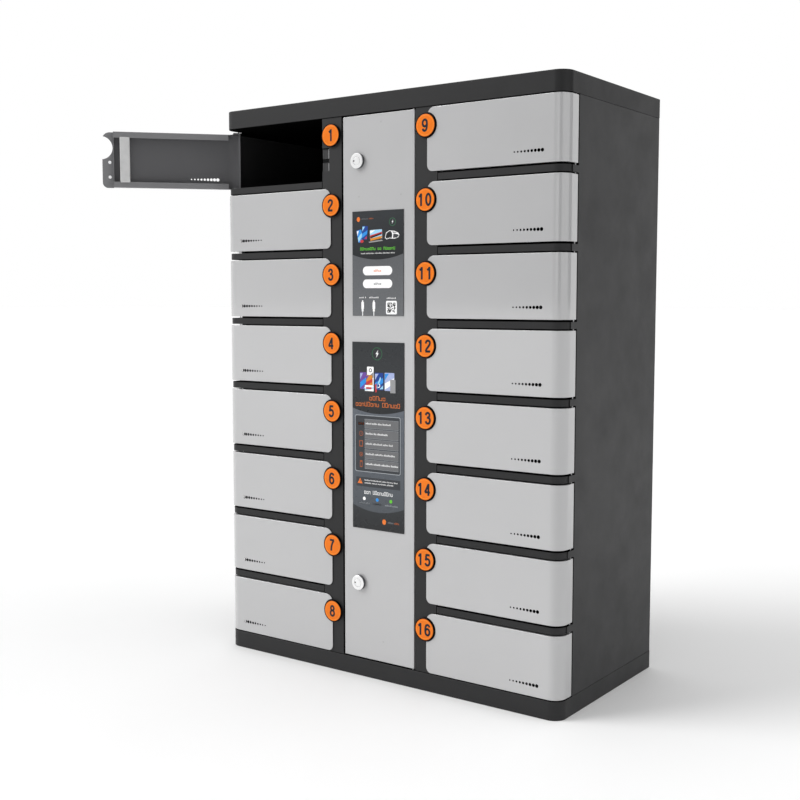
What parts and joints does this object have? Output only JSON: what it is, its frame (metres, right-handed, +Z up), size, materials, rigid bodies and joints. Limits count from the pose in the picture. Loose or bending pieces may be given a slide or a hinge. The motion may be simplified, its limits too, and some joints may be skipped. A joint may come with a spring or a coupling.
{
  "type": "phone charging kiosk",
  "caption": "Free-standing steel phone charging kiosk: two banks of hinged lockers with numbered badges either side of a locked service door carrying a touchscreen and a printed panel.",
  "frame": {"origin": "on the floor, at the middle of the cabinet's 900 by 434 mm footprint", "axes": "+Z up, the doors and screen face -Y, +X to the right of someone facing the screen"},
  "size_m": [1.1443, 0.5992, 1.275],
  "materials": {
    "black_powder_coat": "fine-textured satin charcoal powder coat",
    "grey_door_paint": "smooth satin light grey paint",
    "dark_plastic": "matt black moulded plastic",
    "orange_badge": "glossy back-lit orange acrylic",
    "zinc_steel": "zinc-plated steel",
    "chrome": "polished chrome",
    "screen_glass": "gloss cover over a lit display",
    "printed_panel": "semi-gloss printed sheet"
  },
  "bodies": {
    "cabinet": {"base_plinth": "black_powder_coat", "top_cover": "black_powder_coat", "side_panel_left": "black_powder_coat", "side_panel_right": "black_powder_coat", "rear_panel": "black_powder_coat", "mullion_left": "black_powder_coat", "mullion_right": "black_powder_coat", "partition_left": "black_powder_coat", "partition_right": "black_powder_coat", "inner_back_left": "black_powder_coat", "inner_back_right": "black_powder_coat", "shelf_left_1": "black_powder_coat", "shelf_left_2": "black_powder_coat", "shelf_left_3": "black_powder_coat", "shelf_left_4": "black_powder_coat", "shelf_left_5": "black_powder_coat", "shelf_left_6": "black_powder_coat", "shelf_left_7": "black_powder_coat", "shelf_right_1": "black_powder_coat", "shelf_right_2": "black_powder_coat", "shelf_right_3": "black_powder_coat", "shelf_right_4": "black_powder_coat", "shelf_right_5": "black_powder_coat", "shelf_right_6": "black_powder_coat", "shelf_right_7": "black_powder_coat", "badge_strip_left": "orange_badge", "badge_strip_right": "orange_badge", "latch_rail_left": "dark_plastic", "latch_rail_right": "dark_plastic", "power_supply": "zinc_steel", "control_box": "dark_plastic", "charger_hub_left": "dark_plastic", "charger_hub_right": "dark_plastic", "power_inlet": "dark_plastic", "fan_housing": "dark_plastic"},
    "door_01": {"door_01": "grey_door_paint"},
    "door_02": {"door_02": "grey_door_paint"},
    "door_03": {"door_03": "grey_door_paint"},
    "door_04": {"door_04": "grey_door_paint"},
    "door_05": {"door_05": "grey_door_paint"},
    "door_06": {"door_06": "grey_door_paint"},
    "door_07": {"door_07": "grey_door_paint"},
    "door_08": {"door_08": "grey_door_paint"},
    "door_09": {"door_09": "grey_door_paint"},
    "door_10": {"door_10": "grey_door_paint"},
    "door_11": {"door_11": "grey_door_paint"},
    "door_12": {"door_12": "grey_door_paint"},
    "door_13": {"door_13": "grey_door_paint"},
    "door_14": {"door_14": "grey_door_paint"},
    "door_15": {"door_15": "grey_door_paint"},
    "door_16": {"door_16": "grey_door_paint"},
    "service_door": {"service_door": "grey_door_paint", "touchscreen": "screen_glass", "graphic_panel": "printed_panel", "upper_lock_body": "chrome", "lower_lock_body": "chrome"},
    "upper_lock_cam": {"upper_lock_cam": "zinc_steel"},
    "lower_lock_cam": {"lower_lock_cam": "zinc_steel"},
    "power_switch": {"power_switch": "dark_plastic"},
    "fan_rotor": {"fan_rotor": "dark_plastic"}
  },
  "joints": [
    {"name": "door_01_hinge", "type": "hinge", "parent": "cabinet", "child": "door_01", "pos_m": [-0.4466, -0.172, 1.1013], "axis": [0, 0, -1], "range_deg": [-132.5, 0]},
    {"name": "door_02_hinge", "type": "hinge", "parent": "cabinet", "child": "door_02", "pos_m": [-0.4466, -0.172, 0.9499], "axis": [0, 0, -1], "range_deg": [0, 132.5]},
    {"name": "door_03_hinge", "type": "hinge", "parent": "cabinet", "child": "door_03", "pos_m": [-0.4466, -0.172, 0.7985], "axis": [0, 0, -1], "range_deg": [0, 132.5]},
    {"name": "door_04_hinge", "type": "hinge", "parent": "cabinet", "child": "door_04", "pos_m": [-0.4466, -0.172, 0.6471], "axis": [0, 0, -1], "range_deg": [0, 132.5]},
    {"name": "door_05_hinge", "type": "hinge", "parent": "cabinet", "child": "door_05", "pos_m": [-0.4466, -0.172, 0.4957], "axis": [0, 0, -1], "range_deg": [0, 132.5]},
    {"name": "door_06_hinge", "type": "hinge", "parent": "cabinet", "child": "door_06", "pos_m": [-0.4466, -0.172, 0.3443], "axis": [0, 0, -1], "range_deg": [0, 132.5]},
    {"name": "door_07_hinge", "type": "hinge", "parent": "cabinet", "child": "door_07", "pos_m": [-0.4466, -0.172, 0.1929], "axis": [0, 0, -1], "range_deg": [0, 132.5]},
    {"name": "door_08_hinge", "type": "hinge", "parent": "cabinet", "child": "door_08", "pos_m": [-0.4466, -0.172, 0.0415], "axis": [0, 0, -1], "range_deg": [0, 132.5]},
    {"name": "door_09_hinge", "type": "hinge", "parent": "cabinet", "child": "door_09", "pos_m": [0.4466, -0.172, 1.1013], "axis": [0, 0, 1], "range_deg": [0, 132.5]},
    {"name": "door_10_hinge", "type": "hinge", "parent": "cabinet", "child": "door_10", "pos_m": [0.4466, -0.172, 0.9499], "axis": [0, 0, 1], "range_deg": [0, 132.5]},
    {"name": "door_11_hinge", "type": "hinge", "parent": "cabinet", "child": "door_11", "pos_m": [0.4466, -0.172, 0.7985], "axis": [0, 0, 1], "range_deg": [0, 132.5]},
    {"name": "door_12_hinge", "type": "hinge", "parent": "cabinet", "child": "door_12", "pos_m": [0.4466, -0.172, 0.6471], "axis": [0, 0, 1], "range_deg": [0, 132.5]},
    {"name": "door_13_hinge", "type": "hinge", "parent": "cabinet", "child": "door_13", "pos_m": [0.4466, -0.172, 0.4957], "axis": [0, 0, 1], "range_deg": [0, 132.5]},
    {"name": "door_14_hinge", "type": "hinge", "parent": "cabinet", "child": "door_14", "pos_m": [0.4466, -0.172, 0.3443], "axis": [0, 0, 1], "range_deg": [0, 132.5]},
    {"name": "door_15_hinge", "type": "hinge", "parent": "cabinet", "child": "door_15", "pos_m": [0.4466, -0.172, 0.1929], "axis": [0, 0, 1], "range_deg": [0, 132.5]},
    {"name": "door_16_hinge", "type": "hinge", "parent": "cabinet", "child": "door_16", "pos_m": [0.4466, -0.172, 0.0415], "axis": [0, 0, 1], "range_deg": [0, 132.5]},
    {"name": "service_door_hinge", "type": "hinge", "parent": "cabinet", "child": "service_door", "pos_m": [0.091, -0.2105, 0], "axis": [0, 0, 1], "range_deg": [0, 105]},
    {"name": "upper_lock_turn", "type": "hinge", "parent": "service_door", "child": "upper_lock_cam", "pos_m": [-0.052, -0.217, 1.135], "axis": [0, 1, 0], "range_deg": [0, 90]},
    {"name": "lower_lock_turn", "type": "hinge", "parent": "service_door", "child": "lower_lock_cam", "pos_m": [-0.052, -0.217, 0.212], "axis": [0, 1, 0], "range_deg": [0, 90]},
    {"name": "power_switch_rocker", "type": "hinge", "parent": "cabinet", "child": "power_switch", "pos_m": [0.125, 0.217, 0.112], "axis": [1, 0, 0], "range_deg": [0, 14]},
    {"name": "fan_spin", "type": "hinge", "parent": "cabinet", "child": "fan_rotor", "pos_m": [0, 0.201, 1.11], "axis": [0, 1, 0], "continuous": true}
  ]
}
